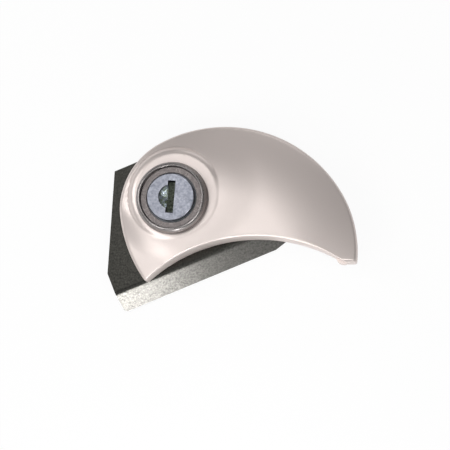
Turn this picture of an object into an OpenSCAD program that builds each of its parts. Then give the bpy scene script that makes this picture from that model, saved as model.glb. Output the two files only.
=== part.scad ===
// Flap lock: a crescent cover swings about its lock on a bracket and is bolted shut or open by the key.
// The part lies on its back, face up, with its origin on the lock axis at the back of the bracket.

/* [Cover] */
// Radius of the long outer arc of the cover
main_r = 48.9; // [47:0.1:52]
// Where the centre of the outer arc lies, right of the lock axis
main_x = 17; // [16:0.1:18]
// Where the centre of the outer arc lies, below the lock axis
main_drop = 22; // [21.5:0.1:23]
// Where the centre of the arc round the nose lies, right of the centre of the outer arc
nose_x = 7.5; // [6:0.5:9]
// Where the centre of the arc round the nose lies, above the centre of the outer arc
nose_rise = 4; // [3:0.5:5]
// Where the centre of the arc round the lock lies, left of the centre of the outer arc
cheek_x = 10.4; // [9.6:0.1:11]
// Where the centre of the arc round the lock lies, above the centre of the outer arc
cheek_rise = 19.5; // [19:0.1:20]
// Where the centre of the arc down the leg lies, right of the centre of the arc round the lock
leg_x = 22.4; // [20:0.1:26]
// Where the centre of the arc down the leg lies, above the centre of the arc round the lock
leg_rise = 3; // [2:0.1:4]
// Radius of the hollow lower edge
hollow_r = 59; // [57:0.1:60]
// Where the centre of the hollow edge lies, right of the lock axis
hollow_x = 28.6; // [27:0.1:30]
// Where the centre of the hollow edge lies, below the lock axis
hollow_drop = 72.6; // [72:0.1:75]
// How far below the lock axis the tip of the wing is cut off
tip_drop = 23; // [22:0.1:25]
// Height of the flat part of the face above the back of the bracket
face_h = 13.6; // [13.3:0.1:14.4]
// How much lower the face is at its outer edge
edge_drop = 4.4; // [2:0.1:5]
// How far in from the edge the face has become flat
edge_reach = 26; // [18:0.5:26]
// Radius on the outer edge
edge_round = 1.2; // [0.4:0.1:2]
// Wall of the cover
wall = 2.2; // [1.6:0.1:2.4]
// Gap between the bracket and the rim of the cover
rim_gap = 0.7; // [0.4:0.1:1]
// Thickness of the ribs under the wing
rib_t = 1.5; // [1:0.1:2]
// Radius of the foot under the tip of the wing
foot_r = 2.3; // [2:0.1:2.5]

/* [Boss] */
// Height of the raised disc round the lock above the back of the bracket
boss_h = 14.4; // [14:0.1:15]
// Radius of the raised disc at its top
boss_r = 15.6; // [15:0.1:16.2]
// How much wider the raised disc is at its foot
boss_flare = 2; // [1:0.1:3]
// How far the raised disc is off the lock axis, to the right
boss_x = 1; // [0:0.1:1.4]
// How far the raised disc is off the lock axis, upward
boss_y = 1.6; // [0:0.1:2]

/* [Bracket] */
// Thickness of the bracket sheet
sheet_t = 1.5; // [1.2:0.1:2]
// Length of the bracket along its lip
bracket_l = 67; // [62:0.5:70]
// Length of the bracket along its top edge
bracket_top_l = 34.8; // [32:0.1:40]
// Depth of the bracket from its top edge to the bend
bracket_d = 41.3; // [40:0.1:44]
// Length of the straight end beside the bend
bracket_end = 7; // [4:0.1:12]
// Turn of the bracket against the cover
bracket_turn = 21.8; // [18:0.1:26]
// Inner radius of the bend
bend_r = 1; // [0.6:0.1:2]
// Angle of the lip below the sheet
lip_angle = 45; // [30:1:60]
// How far the lip and the spigot reach behind the bracket
back_depth = 6.2; // [5:0.1:8]
// How much of the lip the cut at its right end takes, along the lip
lip_cut_l = 7; // [4:0.1:10]
// How much of the lip the cut at its right end takes, down the lip
lip_cut_d = 2.4; // [1:0.1:4]
// Radius of the two mounting holes
mount_hole_r = 2.25; // [1.5:0.05:2.5]
// Distance between the two mounting holes
mount_hole_pitch = 40; // [38:0.5:42]
// How far the line of the mounting holes lies below the lock axis
mount_hole_drop = 12; // [11:0.5:13]

/* [Pivot] */
// Outer radius of the hub
hub_r = 15; // [14.8:0.05:15.2]
// Radius of the bore in which the housing turns
hub_bore_r = 12.2; // [12:0.05:12.4]
// Running clearance between the housing and the hub
pivot_fit = 0.1; // [0.05:0.01:0.2]
// Radius of the spigot behind the bracket
spigot_r = 11; // [9:0.1:12]
// Thickness of the floor of the hub above the bracket
hub_floor = 1.5; // [1.2:0.1:2]
// Radius of the circle of rivets and ring screws
hub_fixing_r = 13.6; // [13.4:0.05:13.8]
// How far the cover swings open
swing = 155; // [140:1:158]
// Radius of the stop pin
stop_r = 1.25; // [0.8:0.05:1.3]
// Distance of the stop pin from the lock axis
stop_at_r = 17; // [16.8:0.1:17.1]
// Direction of the stop pin from the lock axis
stop_at = 118; // [112:1:120]

/* [Lock] */
// Radius of the plug
plug_r = 7; // [6.8:0.1:7.2]
// Running clearance round the plug
plug_fit = 0.05; // [0.03:0.01:0.1]
// Radius of the bezel at its foot
bezel_r = 12.9; // [12.4:0.1:13.2]
// Width of the foot of the bezel, from its edge in to the threaded barrel
bezel_w = 2.8; // [2.7:0.05:3]
// Depth of the flats on the threaded barrel
flat_depth = 0.8; // [0.5:0.05:1]
// Wall of the nut, from the threaded barrel out to its corners
nut_wall = 3.1; // [2.8:0.05:3.2]
// Height of the bezel above the raised disc
bezel_h = 5; // [4.5:0.1:6]
// Width of the rim of the bezel, from its edge in to its opening
rim_w = 1.9; // [1.5:0.1:2.2]
// Radius of the steel cap on the plug
cap_r = 8.5; // [8.2:0.05:8.7]
// Thickness of the steel cap
cap_t = 1.2; // [0.8:0.1:1.5]
// Length of the key slot
slot_l = 11.5; // [10.5:0.1:12]
// Width of the key slot
slot_w = 2.7; // [2.2:0.05:3]
// Radius of the half-round opening beside the key slot
half_round_r = 4.35; // [3.5:0.05:5]
// Lean of the key slot, clockwise
slot_lean = 5; // [0:0.5:10]

/* [Bolt work] */
// Throw of the cam pin
cam_throw = 2; // [1.8:0.05:2.1]
// Radius of the cam pin
cam_pin_r = 1.2; // [0.9:0.05:1.3]
// Clearance of the cam pin in its slot
cam_fit = 0.1; // [0.08:0.01:0.15]
// Thickness of the locking bolt
bolt_t = 1.8; // [1.5:0.1:1.9]
// Width of the nose of the locking bolt
bolt_w = 6; // [5:0.1:6.4]
// Sliding clearance beside, above and under the locking bolt
slide_fit = 0.1; // [0.08:0.01:0.15]
// Radius of the detent ball
ball_r = 1.15; // [1:0.05:1.3]
// How deep the detent ball drops into its dimple
dimple = 0.5; // [0.3:0.05:0.6]
// Number of wafers in the plug
wafer_n = 5; // [3:1:5]
// Thickness of a wafer
wafer_t = 0.65; // [0.5:0.05:0.7]
// Distance from one wafer to the next
wafer_pitch = 1; // [0.9:0.05:1]
// How far a wafer springs out of the plug
wafer_lift = 0.6; // [0.3:0.05:0.6]

/* [Hidden] */
$fn = 96;
fine = 180;
eps = 0.01;
big = 200;
seat = 0.15;

// Heights, from the back of the bracket to the face of the bezel
rim_z = sheet_t + rim_gap;
floor_z = sheet_t + hub_floor;
plate_z = floor_z + seat;
plate_t = 0.7;
channel_z = plate_z + plate_t;
bolt_z = channel_z + slide_fit;
channel_top = bolt_z + bolt_t + slide_fit;
cam_z = channel_top + 0.05;
cam_t = 1;
clip_t = 0.5;
flange_top = cam_z + cam_t + 0.9;
clip_z = flange_top - clip_t - 0.05;
ring_z = flange_top + pivot_fit;
ring_t = 1.1;
ring_top = ring_z + ring_t;
washer_z = ring_top + pivot_fit;
washer_t = 0.25;
nut_z = washer_z + washer_t;
boss_under = nut_z + 2.15;
web_t = 1.2;
plug_z = flange_top + web_t + seat;
barrel_top = boss_h + 2.2;
head_z = barrel_top + 0.1;
bezel_top = boss_h + bezel_h;
cap_z = bezel_top - 0.2 - cap_t;
annulus_z = barrel_top + 0.7;

// Lock cylinder, bezel and nut
barrel_r = bezel_r - bezel_w;
barrel_flats = 2 * (barrel_r - flat_depth);
rim_r = bezel_r - rim_w;
annulus_r = cap_r + 0.4;
nut_r = barrel_r + nut_wall;
nut_round_r = nut_r - 0.6;
washer_r = nut_round_r - 0.3;

// Centres of the arcs of the outline: each arc touches its neighbour on the line through both centres
main_c = [main_x, -main_drop];
nose_c = main_c + [nose_x, nose_rise];
nose_r = main_r - norm([nose_x, nose_rise]);
nose_at = atan2(nose_rise, nose_x);
cheek_c = main_c + [-cheek_x, cheek_rise];
cheek_r = main_r - norm([cheek_x, cheek_rise]);
cheek_at = 180 - atan2(cheek_rise, cheek_x);
leg_c = cheek_c + [leg_x, leg_rise];
leg_r = cheek_r + norm([leg_x, leg_rise]);
leg_at = 180 + atan2(leg_rise, leg_x);
hollow_c = [hollow_x, -hollow_drop];
foot_c = [hollow_x + 31.4, -tip_drop + foot_r - 0.1];

// Pivot and bolt work
journal_r = hub_bore_r - pivot_fit;
bolt_at = 180;
bolt_travel = 2 * cam_throw * sin(45);
bolt_body = 9.6;
bolt_back = -5.2;
bolt_front = 4.6;
bolt_nose_r = journal_r - 0.15;
detent_at_r = 9.3;
ball_z = floor_z + 0.05 + ball_r;
detent_top = flange_top - 0.8;
fixing_angles = [15, 135, 255];
plate_screw_angles = [55, 125, 235, 305];
plate_screw_r = 9.5;
plate_screw_head_r = 1.3;
plate_screw_shank_r = 0.7;
plate_screw_l = plate_t + 2.7;
ring_screw_head_r = 1.1;
ring_screw_shank_r = 0.8;
ring_screw_bite = 1.9;
cam_screw_head_r = 2.2;
cam_screw_shank_r = 0.8;
cam_screw_l = 3;
sink_fit = 0.04;
rivet_r = 0.9;
rivet_l = channel_z + 0.65;
register_r = spigot_r + 0.3;
cam_cavity_r = 4.6;
tail_r = 3.2;
tail_square = 3.6;
clip_groove_r = 2.6;
rib_angles = [8, -14];
rib_z = cam_z + 0.5;
stop_rib_w = 8;
stop_rib_angle = 8;
hollow_steps = [
    [wall, face_h - edge_drop - wall + 0.8],
    [wall + 5, face_h - edge_drop * 0.55 - wall + 0.2],
    [wall + 11, face_h - wall - 0.5]];
stop_margin = asin(stop_r / stop_at_r) + 0.6;

// Plug and wafers
wafer_w = 5;
wafer_z = plug_z + 0.45;
wafer_slot = wafer_t + 0.1;
wafer_window = [slot_w + 0.3, slot_l];
shutter_t = 0.4;
shutter_l = slot_l - 0.9;
shutter_pin_r = 0.35;
shutter_knuckle_r = 0.6;
shutter_x = slot_w / 2 + 0.35;
shutter_z = cap_z - shutter_t - 0.25;
shutter_gap = 2.2;
wafer_spring_r = 0.42;
wafer_spring_l = 2.6;
spring_wire = 0.25;
wafer_spring_wire = 0.14;

// A disc whose top falls in an arc toward its rim, with a rounded edge
module domed_disc(r, base, top, drop, reach, round_r) {
    arc_r = (reach * reach + drop * drop) / (2 * drop);
    corner_z = top - drop - 0.713 * round_r - base;
    translate([0, 0, base])
        rotate_extrude($fn = fine)
        intersection() {
            union() {
                translate([r - reach, top - base - arc_r]) circle(r = arc_r, $fn = fine);
                square([r - reach, top - base]);
            }
            union() {
                square([r - 0.674 * round_r, top - base]);
                square([r, corner_z]);
                translate([r - round_r, corner_z]) circle(r = round_r, $fn = 48);
            }
        }
}

// The half of the plane on the left of a line from a centre in a direction
module half_plane(centre, direction) {
    translate(centre) rotate(direction) translate([-big, 0]) square([2 * big, big]);
}

// The half of space on the left of a line from a centre in a direction
module half_space(centre, direction) {
    translate([0, 0, -big / 2]) linear_extrude(big) half_plane(centre, direction);
}

// The domed disc of one arc of the outline
module cover_disc(centre, r) {
    translate([centre.x, centre.y, 0])
        domed_disc(r, rim_z, face_h, edge_drop, edge_reach, edge_round);
}

// The cover's solid form, arc by arc
module cover_form() {
    difference() {
        intersection() {
            cover_disc(main_c, main_r);
            union() {
                cover_disc(nose_c, nose_r);
                half_space(main_c, nose_at);
            }
            union() {
                intersection() {
                    cover_disc(cheek_c, cheek_r);
                    half_space(cheek_c, leg_at + 180);
                }
                intersection() {
                    cover_disc(leg_c, leg_r);
                    half_space(cheek_c, leg_at);
                }
                half_space(main_c, cheek_at + 180);
            }
        }
        translate([hollow_c.x, hollow_c.y, rim_z - 1]) cylinder(r = hollow_r, h = face_h, $fn = fine);
        translate([foot_c.x - 8, -tip_drop - big, rim_z - 1]) cube([big, big, face_h]);
    }
}

// The cover's outline drawn in by an inset
module cover_outline(inset) {
    $fn = fine;
    difference() {
        intersection() {
            translate(main_c) circle(r = main_r - inset);
            union() {
                translate(nose_c) circle(r = nose_r - inset);
                half_plane(main_c, nose_at);
            }
            union() {
                intersection() {
                    translate(cheek_c) circle(r = cheek_r - inset);
                    half_plane(cheek_c, leg_at + 180);
                }
                intersection() {
                    translate(leg_c) circle(r = leg_r - inset);
                    half_plane(cheek_c, leg_at);
                }
                half_plane(main_c, cheek_at + 180);
            }
        }
        translate(hollow_c) circle(r = hollow_r + inset);
        translate([foot_c.x - 8, inset - tip_drop - big]) square([big, big]);
    }
}

// The barrel's outline, a circle with two flats, grown by a clearance
module barrel_outline(clearance) {
    intersection() {
        circle(r = barrel_r + clearance);
        square([barrel_flats + 2 * clearance, 3 * barrel_r], center = true);
    }
}

// A ring between two radii
module ring(outer, inner, z, h) {
    translate([0, 0, z])
        difference() {
            cylinder(r = outer, h = h);
            translate([0, 0, -eps]) cylinder(r = inner, h = h + 2 * eps);
        }
}

// A countersunk screw that points up from its head
module screw(head_r, shank_r, length) {
    rotate_extrude()
        polygon([[0, 0], [head_r, 0], [shank_r, head_r - shank_r], [shank_r, length], [0, length]]);
}

// Places its children in the plug, whose key slot leans
module in_plug() {
    rotate(-slot_lean) children();
}

// One ring of points round the wire of a coil, at an angle, a height and a distance out along the tangent
function wire_ring(r, wire, sides, a, z, out) = [for (s = [0 : sides - 1])
    let (b = s * 360 / sides, q = r + wire * cos(b))
    [q * cos(a) - out * sin(a), q * sin(a) + out * cos(a), z + wire * sin(b)]];

// A coil spring along Z, as a tube round a helix, with an arm at its start where one is asked for
module coil(r, wire, length, turns, per_turn = 12, arm = 0) {
    sides = 6;
    steps = turns * per_turn;
    rings = concat(
        arm > 0 ? [wire_ring(r, wire, sides, 0, wire, -arm)] : [],
        [for (i = [0 : steps])
            wire_ring(r, wire, sides, i * 360 / per_turn, wire + (length - 2 * wire) * i / steps, 0)]);
    last = len(rings) - 1;
    walls = [for (i = [0 : last - 1], s = [0 : sides - 1])
        let (t = (s + 1) % sides)
        [i * sides + s, i * sides + t, (i + 1) * sides + t, (i + 1) * sides + s]];
    ends = [[for (s = [0 : sides - 1]) sides - 1 - s], [for (s = [0 : sides - 1]) last * sides + s]];
    polyhedron([for (g = rings) each g], concat(walls, ends));
}

// The bracket is drawn along its lip, with its top edge up
module mounting_bracket() {
    half_l = bracket_l / 2;
    half_d = bracket_d / 2;
    lip_l = (back_depth - bend_r + bend_r * cos(lip_angle)) / sin(lip_angle);
    color("#9a9ba0")
        rotate(bracket_turn)
        union() {
            linear_extrude(sheet_t)
                difference() {
                    polygon([
                        [-half_l, -half_d], [half_l, -half_d], [half_l, bracket_end - half_d],
                        [bracket_top_l / 2, half_d], [-bracket_top_l / 2, half_d],
                        [-half_l, bracket_end - half_d]]);
                    rotate(-bracket_turn) circle(r = register_r + 0.05);
                    for (a = fixing_angles)
                        rotate(a - bracket_turn) translate([hub_fixing_r, 0]) circle(r = rivet_r + 0.05);
                    rotate(stop_at - bracket_turn) translate([stop_at_r, 0]) circle(r = stop_r - 0.25);
                    for (side = [-1, 1])
                        translate([side * mount_hole_pitch / 2, -mount_hole_drop])
                            circle(r = mount_hole_r);
                }
            translate([-half_l, -half_d, -bend_r])
                rotate([90, 0, 90])
                rotate([0, 0, 90])
                rotate_extrude(angle = lip_angle)
                translate([bend_r, 0])
                square([sheet_t, bracket_l]);
            translate([-half_l, -half_d, -bend_r])
                rotate([lip_angle, 0, 0])
                translate([0, 0, bend_r])
                linear_extrude(sheet_t)
                polygon([
                    [0, eps], [0, -lip_l + 1], [1, -lip_l], [bracket_l - lip_cut_l, -lip_l],
                    [bracket_l, -lip_l + lip_cut_d], [bracket_l, eps]]);
        }
}

module pivot_hub() {
    color("#8d8f94")
        difference() {
            union() {
                translate([0, 0, -back_depth]) cylinder(r1 = spigot_r - 0.6, r2 = spigot_r, h = 0.6);
                translate([0, 0, 0.6 - back_depth]) cylinder(r = spigot_r, h = back_depth - 0.6 + eps);
                cylinder(r = register_r, h = sheet_t);
                translate([0, 0, sheet_t]) cylinder(r = hub_r, h = ring_z - sheet_t);
            }
            translate([0, 0, floor_z]) cylinder(r = hub_bore_r, h = ring_z);
            for (a = [bolt_at, bolt_at + swing])
                rotate(a)
                    translate([0, -bolt_w / 2 - 0.15, channel_z])
                    cube([hub_r + 1, bolt_w + 0.3, channel_top - channel_z]);
            for (a = fixing_angles)
                rotate(a) translate([hub_fixing_r, 0, 0]) {
                    cylinder(r = rivet_r, h = rivet_l);
                    translate([0, 0, ring_z - ring_screw_bite - 0.1])
                        cylinder(r = ring_screw_shank_r, h = ring_screw_bite + 1);
                }
            for (a = [0, swing])
                rotate(a)
                    translate([detent_at_r, 0, ball_z - dimple])
                    sphere(r = ball_r + 0.1);
        }
}

module hub_rivets() {
    color("#b4b6ba")
        for (a = fixing_angles)
            rotate(a)
                translate([hub_fixing_r, 0, 0])
                cylinder(r = rivet_r, h = rivet_l);
}

module retaining_ring() {
    color("#a2a4a9")
        difference() {
            ring(hub_r, barrel_r + pivot_fit, ring_z, ring_t);
            for (a = fixing_angles)
                rotate(a)
                    translate([hub_fixing_r, 0, ring_top + eps])
                    mirror([0, 0, 1])
                    screw(ring_screw_head_r + sink_fit, ring_screw_shank_r + sink_fit, ring_t + 1);
        }
}

module ring_screws() {
    color("#c2c4c8")
        for (a = fixing_angles)
            rotate(a)
                translate([hub_fixing_r, 0, ring_top])
                mirror([0, 0, 1])
                screw(ring_screw_head_r, ring_screw_shank_r, ring_t + ring_screw_bite);
}

module stop_pin() {
    color("#b4b6ba")
        rotate(stop_at)
        translate([stop_at_r, 0, 0]) {
            cylinder(r = stop_r - 0.25, h = sheet_t);
            translate([0, 0, sheet_t]) cylinder(r = stop_r, h = 4);
            translate([0, 0, sheet_t + 4]) cylinder(r1 = stop_r, r2 = stop_r - 0.4, h = 0.4);
        }
}

// A rib inside the cover that meets the stop pin on one side
module stop_rib(angle) {
    rotate(angle)
        translate([0, 0, -1])
        rotate_extrude(angle = stop_rib_angle)
        translate([hub_r + 0.6, 0])
        square([stop_rib_w, face_h]);
}

// The hollow inside the cover, in steps that follow the dome, round its ribs and the column of its foot
module cover_hollow() {
    difference() {
        union() {
            for (step = hollow_steps)
                translate([0, 0, rim_z - 1])
                    linear_extrude(step[1] - rim_z + 1)
                    cover_outline(step[0]);
        }
        for (a = rib_angles)
            rotate(a)
                translate([hub_r, -rib_t / 2, rib_z])
                cube([big, rib_t, face_h]);
        stop_rib(stop_at + stop_margin);
        stop_rib(stop_at - swing - stop_margin - stop_rib_angle);
        translate([foot_c.x, foot_c.y, 0]) cylinder(r = foot_r + 0.8, h = face_h);
    }
}

module cover_shell() {
    color("#e9dfd9")
        difference() {
            union() {
                cover_form();
                translate([foot_c.x, foot_c.y, 0.3])
                    cylinder(r = foot_r, h = face_h - edge_drop - 1);
                translate([boss_x, boss_y, face_h - edge_drop])
                    cylinder(r1 = boss_r + boss_flare, r2 = boss_r, h = boss_h - face_h + edge_drop);
            }
            cover_hollow();
            linear_extrude(boss_h + 1) barrel_outline(0.05);
            translate([0, 0, -1]) cylinder(r = hub_r + 0.4, h = ring_top + 1.3);
            translate([0, 0, -1]) cylinder(r = nut_r + 0.2, h = boss_under + 1);
        }
}

module lock_housing() {
    color("#9b9da2")
        difference() {
            union() {
                translate([0, 0, channel_z]) cylinder(r = journal_r, h = flange_top - channel_z);
                translate([0, 0, flange_top - eps]) cylinder(r = barrel_r, h = nut_z - flange_top + eps);
                translate([0, 0, nut_z]) linear_extrude(barrel_top - nut_z) barrel_outline(0);
            }
            translate([0, 0, channel_z - eps])
                rotate(bolt_at) {
                    translate([bolt_back - 0.5, -bolt_body / 2 - slide_fit, 0])
                        cube([bolt_front - bolt_back + bolt_travel + 1, bolt_body + 2 * slide_fit,
                            channel_top - channel_z + eps]);
                    translate([0, -bolt_w / 2 - slide_fit, 0])
                        cube([big, bolt_w + 2 * slide_fit, channel_top - channel_z + eps]);
                }
            translate([0, 0, channel_z]) cylinder(r = cam_cavity_r, h = flange_top - channel_z);
            translate([0, 0, channel_z]) cylinder(r = tail_r + plug_fit, h = big);
            translate([0, 0, flange_top + web_t]) cylinder(r = plug_r + plug_fit, h = big);
            in_plug()
                for (a = [0, 90])
                    rotate(a)
                        translate([-wafer_w / 2 - 0.1, -plug_r - wafer_lift - 0.1, wafer_z - 0.1])
                        cube([wafer_w + 0.2, 2 * (plug_r + wafer_lift + 0.1), wafer_n * wafer_pitch + 0.2]);
            translate([detent_at_r, 0, channel_z - eps])
                cylinder(r = ball_r + 0.05, h = detent_top - channel_z + eps);
            for (a = plate_screw_angles)
                rotate(a)
                    translate([plate_screw_r, 0, channel_z - eps])
                    cylinder(r = plate_screw_shank_r, h = plate_screw_l - plate_t + 0.1);
        }
}

module bezel_ring() {
    crown = 0.35;
    color("#8f8d8c")
        translate([0, 0, boss_h])
        rotate_extrude($fn = fine)
        polygon(concat(
            [[barrel_r + 0.05, 0], [bezel_r - 0.2, 0], [bezel_r, 0.25]],
            [for (i = [0 : 8]) let (a = i * 90 / 8)
                [rim_r + crown + (bezel_r - rim_r - crown) * cos(a),
                    1 + (bezel_h - 1) * sin(a)]],
            [[rim_r, bezel_h - crown], [rim_r, annulus_z - boss_h], [annulus_r, annulus_z - boss_h],
                [annulus_r, barrel_top - boss_h + 0.05], [barrel_r + 0.05, barrel_top - boss_h + 0.05]]));
}

module cylinder_nut() {
    color("#b9a56a")
        translate([0, 0, nut_z])
        difference() {
            intersection() {
                cylinder(r = nut_r, h = boss_under - nut_z, $fn = 6);
                cylinder(r = nut_round_r, h = boss_under - nut_z);
            }
            translate([0, 0, -1]) cylinder(r = barrel_r + 0.05, h = boss_under);
        }
}

module thrust_washer() {
    color("#3c3c3e") ring(washer_r, barrel_r + 0.1, washer_z, washer_t);
}

module tail_plate() {
    color("#a9abb0")
        difference() {
            ring(journal_r - 0.1, 0, plate_z, plate_t);
            translate([detent_at_r, 0, 0]) cylinder(r = ball_r + 0.05, h = big);
            for (a = plate_screw_angles)
                rotate(a)
                    translate([plate_screw_r, 0, plate_z - eps])
                    screw(plate_screw_head_r + sink_fit, plate_screw_shank_r + sink_fit, plate_screw_l);
        }
}

module plate_screws() {
    color("#c2c4c8")
        for (a = plate_screw_angles)
            rotate(a)
                translate([plate_screw_r, 0, plate_z])
                screw(plate_screw_head_r, plate_screw_shank_r, plate_screw_l);
}

module detent_ball() {
    color("#d8dade") translate([detent_at_r, 0, ball_z]) sphere(r = ball_r, $fn = 48);
}

module detent_spring() {
    spring_z = ball_z + ball_r;
    color("#c9cbce")
        translate([detent_at_r, 0, spring_z])
        coil(ball_r - spring_wire - 0.1, spring_wire / 1.4, detent_top - spring_z, 3);
}

module locking_bolt() {
    pin_s = -cam_throw * sin(45);
    slot_r = cam_pin_r + cam_fit;
    slot_from = cam_throw * cos(45);
    color("#aeb0b5")
        rotate(bolt_at)
        difference() {
            union() {
                translate([bolt_back, -bolt_body / 2, bolt_z])
                    cube([bolt_front - bolt_back, bolt_body, bolt_t]);
                intersection() {
                    translate([0, -bolt_w / 2, bolt_z]) cube([bolt_nose_r, bolt_w, bolt_t]);
                    cylinder(r = bolt_nose_r, h = bolt_z + bolt_t);
                }
            }
            for (p = [slot_from, cam_throw])
                translate([pin_s, p, bolt_z - 1]) cylinder(r = slot_r, h = bolt_t + 2);
            translate([pin_s - slot_r, slot_from, bolt_z - 1])
                cube([2 * slot_r, cam_throw - slot_from, bolt_t + 2]);
        }
}

// The plug's keyway, from the cap down past the last wafer
module keyway() {
    translate([-slot_w / 2, -slot_l / 2, plug_z + 1])
        cube([slot_w, slot_l, big]);
    translate([-slot_w / 2, -shutter_l / 2 - 0.1, shutter_z - slot_w - 0.6])
        cube([slot_w / 2 + shutter_x + shutter_knuckle_r + 0.1, shutter_l + 0.2, big]);
}

module plug() {
    color("#7d7f86")
        in_plug()
        difference() {
            union() {
                translate([0, 0, plug_z]) cylinder(r = plug_r, h = head_z - plug_z);
                translate([0, 0, head_z]) cylinder(r = cap_r - 0.1, h = cap_z - head_z);
                translate([0, 0, cam_z + cam_t]) cylinder(r = tail_r, h = plug_z - cam_z - cam_t);
                translate([-tail_square / 2, -tail_square / 2, cam_z])
                    cube([tail_square, tail_square, cam_t]);
            }
            keyway();
            intersection() {
                translate([0, 0, cap_z + 4.2]) sphere(r = norm([half_round_r, 4.2]));
                translate([-big, -big / 2, 0]) cube([big, big, big]);
            }
            for (i = [0 : wafer_n - 1])
                translate([-wafer_w / 2 - 0.05, -plug_r - 1, wafer_z + i * wafer_pitch])
                    cube([wafer_w + 0.1, 2 * plug_r + 2, wafer_slot]);
            for (i = [0 : wafer_n - 1])
                at_wafer_foot(i) {
                    translate([0, -wafer_spring_l, 0])
                        rotate([-90, 0, 0])
                        cylinder(r = wafer_spring_r + 0.03, h = wafer_spring_l + 1.5);
                    translate([-0.7, -0.05, -wafer_slot / 2])
                        cube([0.75 + wafer_spring_r, 0.9 + wafer_lift, wafer_slot]);
                }
            ring(tail_r + 1, clip_groove_r, clip_z - 0.05, clip_t + 0.1);
            translate([shutter_x, 0, shutter_z])
                rotate([90, 0, 0])
                cylinder(r = shutter_pin_r, h = shutter_l + 1.4, center = true);
            translate([0, 0, cam_z - eps]) cam_screw_recess();
        }
}

// The countersink and the hole for the cam's screw, in the cam and the plug
module cam_screw_recess() {
    screw(cam_screw_head_r + sink_fit, cam_screw_shank_r, cam_screw_l + 0.2);
}

module plug_cap() {
    color("#a6a8b2")
        in_plug()
        translate([0, 0, cap_z])
        difference() {
            union() {
                cylinder(r = cap_r, h = cap_t - 0.35);
                translate([0, 0, cap_t - 0.35]) cylinder(r1 = cap_r, r2 = cap_r - 0.4, h = 0.35);
            }
            translate([-slot_w / 2, -slot_l / 2, -1]) cube([slot_w, slot_l, cap_t + 2]);
            intersection() {
                translate([0, 0, -1]) cylinder(r = half_round_r, h = cap_t + 2);
                translate([-big, -big / 2, -big / 2]) cube([big, big, big]);
            }
        }
}

module plug_clip() {
    color("#55565a")
        difference() {
            ring(cam_cavity_r - 0.3, clip_groove_r + 0.02, clip_z, clip_t);
            translate([0, -clip_groove_r * 0.8, clip_z - 1])
                cube([big, clip_groove_r * 1.6, clip_t + 2]);
        }
}

module drive_cam() {
    pin_at = bolt_at + 180 - 45;
    color("#8a8c91")
        difference() {
            union() {
                translate([0, 0, cam_z]) cylinder(r = cam_cavity_r - 0.3, h = cam_t);
                rotate(pin_at)
                    translate([cam_throw, 0, bolt_z])
                    cylinder(r = cam_pin_r, h = cam_z - bolt_z + eps);
            }
            in_plug()
                translate([-tail_square / 2, -tail_square / 2, cam_z - 1 ])
                cube([tail_square, tail_square, cam_t + 2]);
            translate([0, 0, cam_z - eps]) cam_screw_recess();
        }
}

module cam_screw() {
    color("#c2c4c8") translate([0, 0, cam_z]) screw(cam_screw_head_r, cam_screw_shank_r, cam_screw_l);
}

// Every second wafer, sprung one way along the key slot
module wafers(first) {
    color("#b9a56a")
        in_plug()
        for (i = [first : 2 : wafer_n - 1])
            translate([0, 0, wafer_z + i * wafer_pitch + 0.05])
                linear_extrude(wafer_t)
                difference() {
                    intersection() {
                        circle(r = plug_r);
                        square([wafer_w, 2 * plug_r], center = true);
                    }
                    square(wafer_window, center = true);
                }
    color("#b9a56a")
        in_plug()
        for (i = [first : 2 : wafer_n - 1])
            at_wafer_foot(i)
                translate([-0.7, 0, -wafer_t / 2])
                cube([0.7 + wafer_spring_r, 0.8, wafer_t]);
}

module wafers_upper() {
    wafers(0);
}

module wafers_lower() {
    wafers(1);
}

// Each wafer's spring, a close coil drawn as a tube, lies in a pocket beside it and pushes on its foot
module wafer_springs() {
    color("#c9cbce")
        in_plug()
        for (i = [0 : wafer_n - 1])
            at_wafer_foot(i)
                translate([0, -wafer_spring_l, 0])
                rotate([-90, 0, 0])
                ring(wafer_spring_r, wafer_spring_r - wafer_spring_wire, 0, wafer_spring_l);
}

// Places its children at the underside of a wafer's foot, with +Y the way the wafer springs
module at_wafer_foot(i) {
    rotate(i % 2 * 180)
        translate([wafer_w / 2 + 0.65, -0.4, wafer_z + i * wafer_pitch + wafer_slot / 2])
        children();
}

// The shutter lies in the key slot under the cap and folds down about its pin
module key_shutter() {
    color("#6d6f74")
        in_plug()
        translate([shutter_x, 0, shutter_z])
        difference() {
            union() {
                rotate([90, 0, 0])
                    cylinder(r = shutter_knuckle_r - 0.05, h = shutter_l, center = true);
                translate([-shutter_x - slot_w / 2 + 0.15, -shutter_l / 2, 0])
                    cube([shutter_x + slot_w / 2 - 0.15, shutter_l, shutter_t]);
            }
            rotate([90, 0, 0])
                cylinder(r = shutter_pin_r + 0.03, h = shutter_l + 1, center = true);
            translate([-shutter_knuckle_r - 0.1, -shutter_gap / 2, -1])
                cube([2, shutter_gap, 2]);
        }
}

module shutter_pin() {
    color("#c2c4c8")
        in_plug()
        translate([shutter_x, 0, shutter_z])
        rotate([90, 0, 0])
        cylinder(r = shutter_pin_r, h = shutter_l + 1.4, center = true);
}

// The spring is coiled round the shutter's pin, and its arm lies under the shutter
module shutter_spring() {
    color("#c9cbce")
        in_plug()
        translate([shutter_x, shutter_gap / 2 - 0.05, shutter_z])
        rotate([90, 0, 0])
        rotate(-90)
        coil(shutter_knuckle_r - 0.12, 0.09, shutter_gap - 0.1, 4, 10, slot_w * 0.6);
}

mounting_bracket();
pivot_hub();
hub_rivets();
retaining_ring();
ring_screws();
stop_pin();
cover_shell();
lock_housing();
bezel_ring();
cylinder_nut();
thrust_washer();
tail_plate();
plate_screws();
detent_ball();
detent_spring();
locking_bolt();
plug();
plug_cap();
plug_clip();
drive_cam();
cam_screw();
wafers_upper();
wafers_lower();
wafer_springs();
key_shutter();
shutter_pin();
shutter_spring();
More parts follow.
